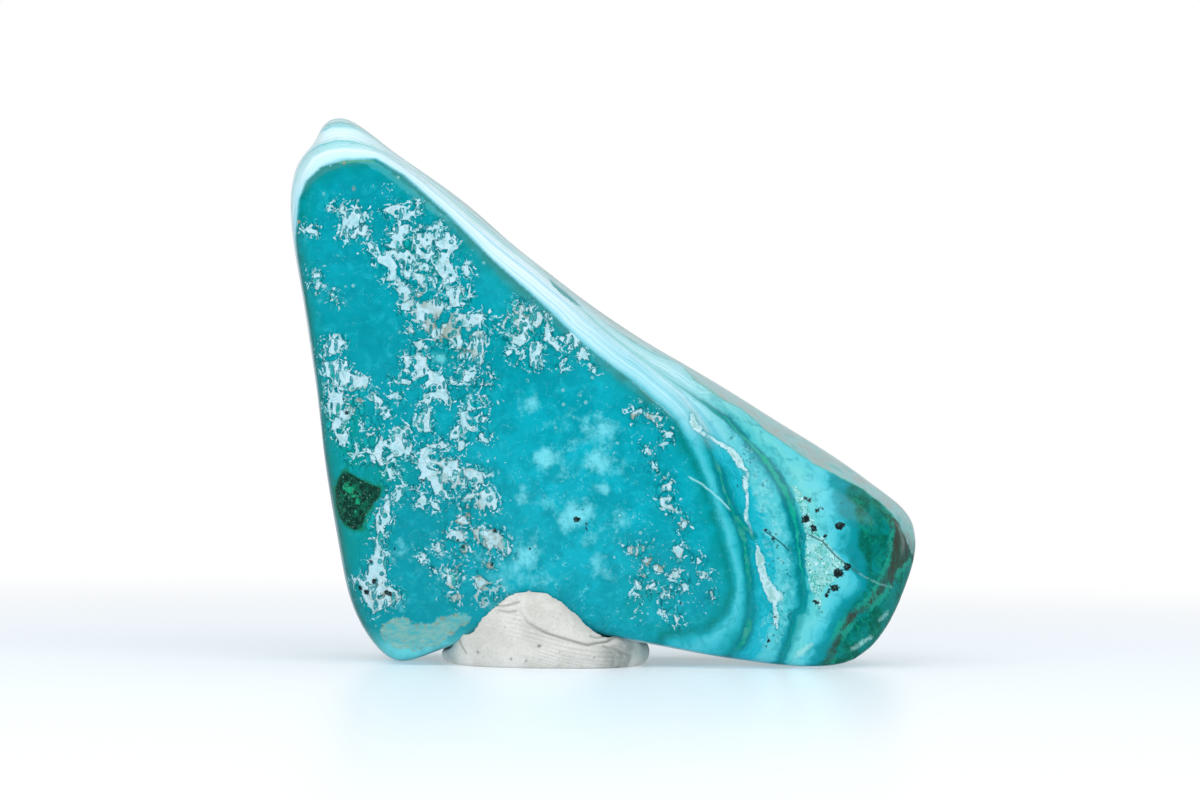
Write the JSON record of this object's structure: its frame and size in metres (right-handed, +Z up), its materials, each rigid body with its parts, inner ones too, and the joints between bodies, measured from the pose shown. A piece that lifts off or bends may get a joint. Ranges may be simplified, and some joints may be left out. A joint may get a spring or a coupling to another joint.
{
  "type": "polished chrysocolla and malachite stone on a putty stand",
  "caption": "Polished free-form stone with a broad teal face, a banded belt and a tall peak, held upright by a lump of display putty.",
  "frame": {"origin": "on the table, under the middle of the whole object", "axes": "+Z up; -Y is the way the broad teal face looks; +X runs from the tall peak to the low end"},
  "size_m": [0.0844, 0.039, 0.0728],
  "materials": {
    "stone": "polished",
    "putty": "matte"
  },
  "bodies": {
    "root": {"stone": "stone", "putty": "putty"}
  },
  "joints": []
}
